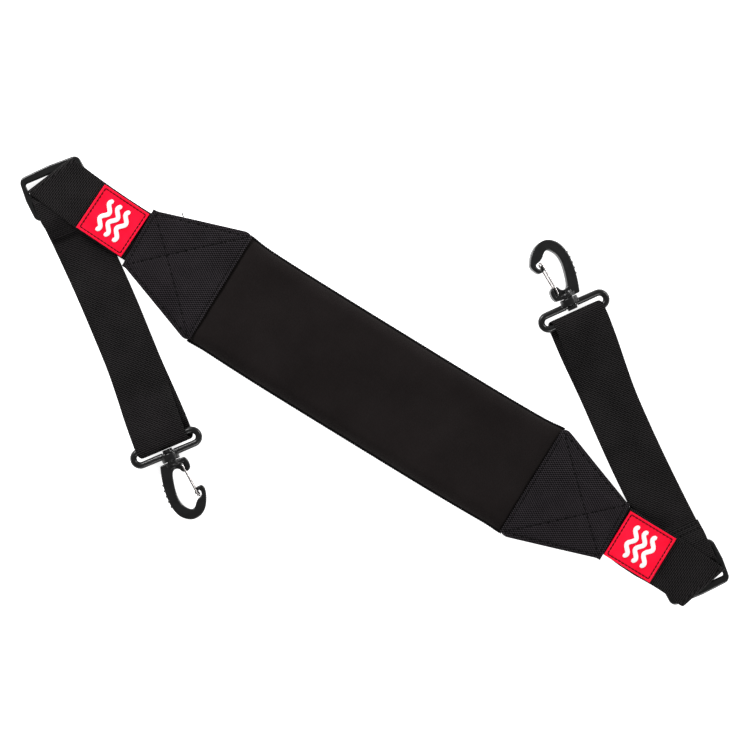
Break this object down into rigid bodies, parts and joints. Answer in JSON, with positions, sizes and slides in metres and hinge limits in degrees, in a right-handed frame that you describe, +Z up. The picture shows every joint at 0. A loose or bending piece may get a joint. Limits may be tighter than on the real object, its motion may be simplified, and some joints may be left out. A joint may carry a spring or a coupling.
{
  "type": "padded shoulder carry strap",
  "caption": "Padded shoulder carry strap with webbing tails, three-bar sliders, swivel eyes and wire-gate snap hooks, lying flat with both tails folded back.",
  "frame": {"origin": "middle of the pad's flat underside", "axes": "+X along the pad towards the right-hand label, +Z up off the surface that it lies on"},
  "size_m": [0.5713, 0.3033, 0.0153],
  "materials": {
    "neoprene": "matte black knit over foam",
    "foam": "closed-cell foam",
    "stitching": "black overlock thread",
    "patch_fabric": "coarse charcoal nylon weave",
    "webbing": "black ribbed nylon webbing",
    "label_rubber": "soft red moulded rubber",
    "emblem_white": "white moulded rubber",
    "moulded_plastic": "charcoal acetal, satin",
    "gate_wire": "bright stainless wire"
  },
  "bodies": {
    "pad": {"bottom_cover": "neoprene", "foam_core": "foam", "top_cover": "neoprene", "front_edge_seam": "stitching", "back_edge_seam": "stitching", "left_upper_patch": "patch_fabric", "left_lower_patch": "patch_fabric", "left_pad_webbing": "webbing", "left_label": "label_rubber", "left_wave_1": "emblem_white", "left_wave_2": "emblem_white", "left_wave_3": "emblem_white", "right_upper_patch": "patch_fabric", "right_lower_patch": "patch_fabric", "right_pad_webbing": "webbing", "right_label": "label_rubber", "right_wave_1": "emblem_white", "right_wave_2": "emblem_white", "right_wave_3": "emblem_white"},
    "left_fold": {"left_fold_webbing": "webbing"},
    "left_adjuster": {"left_slider": "moulded_plastic", "left_sewn_loop_webbing": "webbing", "left_slider_pass_webbing": "webbing", "left_upper_strand_webbing": "webbing", "left_lower_strand_webbing": "webbing"},
    "left_turn": {"left_eye_turn_webbing": "webbing"},
    "left_eye": {"left_swivel_eye": "moulded_plastic"},
    "left_hook": {"left_snap_hook": "moulded_plastic"},
    "left_gate": {"left_wire_gate": "gate_wire"},
    "right_fold": {"right_fold_webbing": "webbing"},
    "right_adjuster": {"right_slider": "moulded_plastic", "right_sewn_loop_webbing": "webbing", "right_slider_pass_webbing": "webbing", "right_upper_strand_webbing": "webbing", "right_lower_strand_webbing": "webbing"},
    "right_turn": {"right_eye_turn_webbing": "webbing"},
    "right_eye": {"right_swivel_eye": "moulded_plastic"},
    "right_hook": {"right_snap_hook": "moulded_plastic"},
    "right_gate": {"right_wire_gate": "gate_wire"}
  },
  "joints": [
    {"name": "left_length_slide", "type": "slide", "parent": "pad", "child": "left_fold", "axis": [-0.9982, 0.0597, 0], "range_m": [0, 0.26], "deforming": ["left_pad_webbing"]},
    {"name": "left_strap_fold", "type": "hinge", "parent": "left_fold", "child": "left_adjuster", "pos_m": [-0.26954, 0.00549, 0.00995], "axis": [0.3584, 0.9336, 0], "range_deg": [0, 175], "deforming": ["left_fold_webbing"]},
    {"name": "left_take_up", "type": "slide", "parent": "left_adjuster", "child": "left_turn", "axis": [-0.8131, 0.5821, 0], "range_m": [0, 0.13], "deforming": ["left_upper_strand_webbing", "left_lower_strand_webbing"]},
    {"name": "left_eye_tilt", "type": "hinge", "parent": "left_turn", "child": "left_eye", "pos_m": [-0.10643, -0.11223, 0.0067], "axis": [0.5821, 0.8131, 0], "range_deg": [-90, 90]},
    {"name": "left_swivel", "type": "hinge", "parent": "left_eye", "child": "left_hook", "pos_m": [-0.10643, -0.11223, 0.0067], "axis": [0.8131, -0.5821, 0], "continuous": true},
    {"name": "left_gate", "type": "hinge", "parent": "left_hook", "child": "left_gate", "pos_m": [-0.08639, -0.11945, 0.0067], "axis": [0, 0, -1], "range_deg": [0, 25], "stiffness_Nm_per_rad": 0.02, "springref_deg": -8.59},
    {"name": "right_length_slide", "type": "slide", "parent": "pad", "child": "right_fold", "axis": [0.9998, -0.0202, 0], "range_m": [0, 0.26], "deforming": ["right_pad_webbing"]},
    {"name": "right_strap_fold", "type": "hinge", "parent": "right_fold", "child": "right_adjuster", "pos_m": [0.2673, -0.0033, 0.00995], "axis": [-0.2874, -0.9578, 0], "range_deg": [0, 175], "deforming": ["right_fold_webbing"]},
    {"name": "right_take_up", "type": "slide", "parent": "right_adjuster", "child": "right_turn", "axis": [0.8281, -0.5606, 0], "range_m": [0, 0.13], "deforming": ["right_upper_strand_webbing", "right_lower_strand_webbing"]},
    {"name": "right_eye_tilt", "type": "hinge", "parent": "right_turn", "child": "right_eye", "pos_m": [0.0955, 0.11412, 0.0067], "axis": [-0.5606, -0.8281, 0], "range_deg": [-90, 90]},
    {"name": "right_swivel", "type": "hinge", "parent": "right_eye", "child": "right_hook", "pos_m": [0.0955, 0.11412, 0.0067], "axis": [-0.8281, 0.5606, 0], "continuous": true},
    {"name": "right_gate", "type": "hinge", "parent": "right_hook", "child": "right_gate", "pos_m": [0.07535, 0.12092, 0.00791], "axis": [-0.1166, -0.1722, -0.9781], "range_deg": [0, 25], "stiffness_Nm_per_rad": 0.02, "springref_deg": -8.59}
  ],
  "couplings": [
    {"joint": "left_take_up", "follows": "left_length_slide", "ratio": 0.5},
    {"joint": "right_take_up", "follows": "right_length_slide", "ratio": 0.5}
  ]
}
